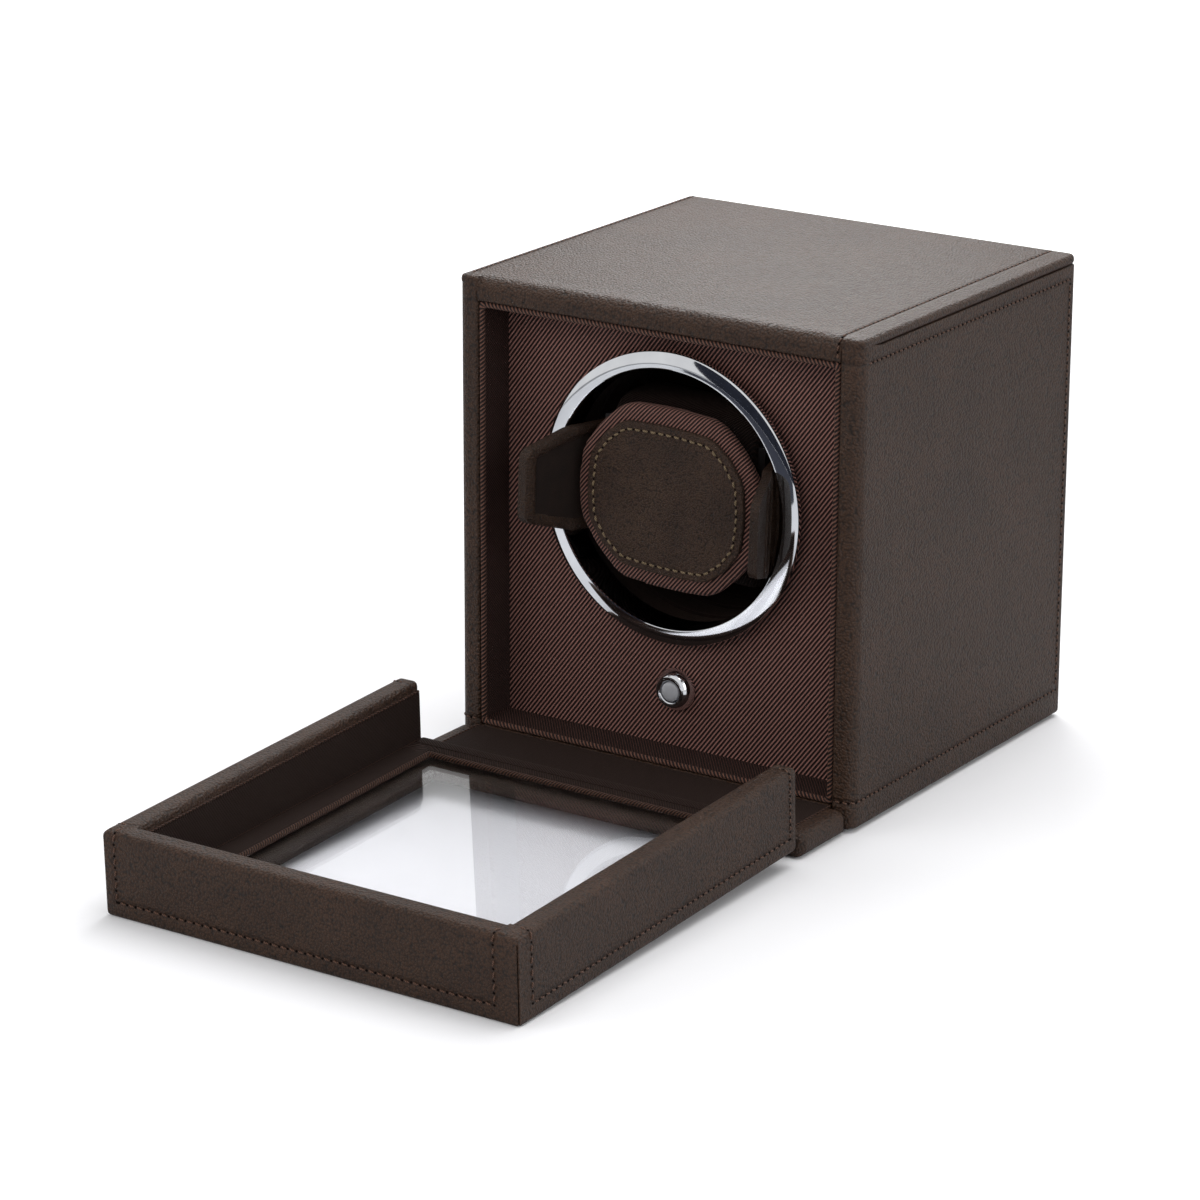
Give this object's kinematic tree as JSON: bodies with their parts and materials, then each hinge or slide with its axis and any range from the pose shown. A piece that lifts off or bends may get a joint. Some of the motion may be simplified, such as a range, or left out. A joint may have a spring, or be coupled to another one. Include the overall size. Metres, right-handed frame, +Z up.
{
  "type": "watch winder",
  "caption": "Leather-covered watch winder for one watch: twill recess, chrome-ringed turning drum, removable cuff with squeeze tabs, push button, and a hinged glass cover shown open.",
  "frame": {"origin": "middle of the felt under the case, on the table", "axes": "+Z up, the case's front faces -Y, +X to the right as seen from the front; the cover lies open along -Y"},
  "size_m": [0.1432, 0.3051, 0.152],
  "materials": {
    "leather": "dark brown pebbled leather",
    "patch_leather": "smooth dark brown leather",
    "twill": "reddish brown twill",
    "lining_twill": "dark brown twill",
    "felt": "black felt",
    "chrome": "polished chrome",
    "steel": "plain steel",
    "brass": "turned brass",
    "black_plastic": "matt black moulded plastic",
    "acetal": "white moulded plastic",
    "clear_plastic": "clear moulded plastic",
    "glass": "clear flat glass",
    "foam_cover": "dark cloth over firm foam",
    "circuit_card": "green circuit card",
    "magnet_nickel": "nickel-plated magnet",
    "wire_sleeve": "black cable sleeve"
  },
  "bodies": {
    "case": {"base_felt": "felt", "base_panel": "leather", "side_panel_left": "leather", "side_panel_right": "leather", "top_panel": "leather", "rear_panel": "leather", "recess_liner": "twill", "fascia_panel": "twill", "chrome_ring": "chrome", "mechanism_frame": "black_plastic", "shaft_bush": "brass", "gear_motor": "steel", "motor_screw_1": "steel", "motor_screw_2": "steel", "button_bezel": "chrome", "bezel_nut": "brass", "indicator_lamp": "clear_plastic", "switch_body": "black_plastic", "control_card": "circuit_card", "card_spacer_left": "acetal", "card_spacer_right": "acetal", "power_inlet": "black_plastic", "inlet_nut": "brass", "motor_lead": "wire_sleeve", "inlet_lead": "wire_sleeve", "hinge_board": "leather", "hinge_apron": "leather", "case_magnet_left": "magnet_nickel", "case_magnet_right": "magnet_nickel"},
    "lid": {"lid_wall_top": "leather", "lid_wall_left": "leather", "lid_wall_right": "leather", "lid_frame": "leather", "lid_glass": "glass", "lid_twill_frame": "lining_twill", "lid_hinge_leather": "leather", "lid_magnet_left": "magnet_nickel", "lid_magnet_right": "magnet_nickel"},
    "drum": {"drum_cup": "black_plastic", "drum_shaft": "steel", "cuff_socket": "black_plastic", "drum_gear": "acetal", "shaft_clip": "steel"},
    "pinion": {"motor_pinion": "brass", "motor_shaft": "steel"},
    "cuff": {"cuff_pad": "twill", "cuff_patch": "patch_leather", "cuff_core": "foam_cover", "cuff_foot": "black_plastic", "cuff_cheek_left": "black_plastic", "cuff_cheek_right": "black_plastic", "tab_pin_left": "steel", "tab_pin_right": "steel", "tab_spring_left": "steel", "tab_spring_right": "steel"},
    "tab_left": {"squeeze_tab_left": "leather"},
    "tab_right": {"squeeze_tab_right": "leather"},
    "button": {"button_cap": "clear_plastic"}
  },
  "joints": [
    {"name": "lid_hinge", "type": "hinge", "parent": "case", "child": "lid", "pos_m": [0, -0.09235, 0.0055], "axis": [-1, 0, 0], "range_deg": [0, 92.18]},
    {"name": "drum_spin", "type": "hinge", "parent": "case", "child": "drum", "pos_m": [0, -0.025, 0.0902], "axis": [0, 1, 0], "continuous": true},
    {"name": "pinion_spin", "type": "hinge", "parent": "case", "child": "pinion", "pos_m": [-0.02121, 0.00545, 0.06899], "axis": [0, 1, 0], "continuous": true},
    {"name": "cuff_pull", "type": "slide", "parent": "drum", "child": "cuff", "axis": [0, -1, 0], "range_m": [0, 0.011]},
    {"name": "tab_squeeze_left", "type": "hinge", "parent": "cuff", "child": "tab_left", "pos_m": [-0.03398, -0.03095, 0.09139], "axis": [0.0349, 0, 0.9994], "range_deg": [0, 3], "stiffness_Nm_per_rad": 0.3},
    {"name": "tab_squeeze_right", "type": "hinge", "parent": "cuff", "child": "tab_right", "pos_m": [0.03398, -0.03095, 0.08901], "axis": [-0.0349, 0, -0.9994], "range_deg": [0, 3], "stiffness_Nm_per_rad": 0.3},
    {"name": "button_press", "type": "slide", "parent": "case", "child": "button", "axis": [0, 1, 0], "range_m": [0, 0.0012], "stiffness_N_per_m": 300}
  ],
  "couplings": [
    {"joint": "pinion_spin", "follows": "drum_spin", "ratio": -4}
  ]
}
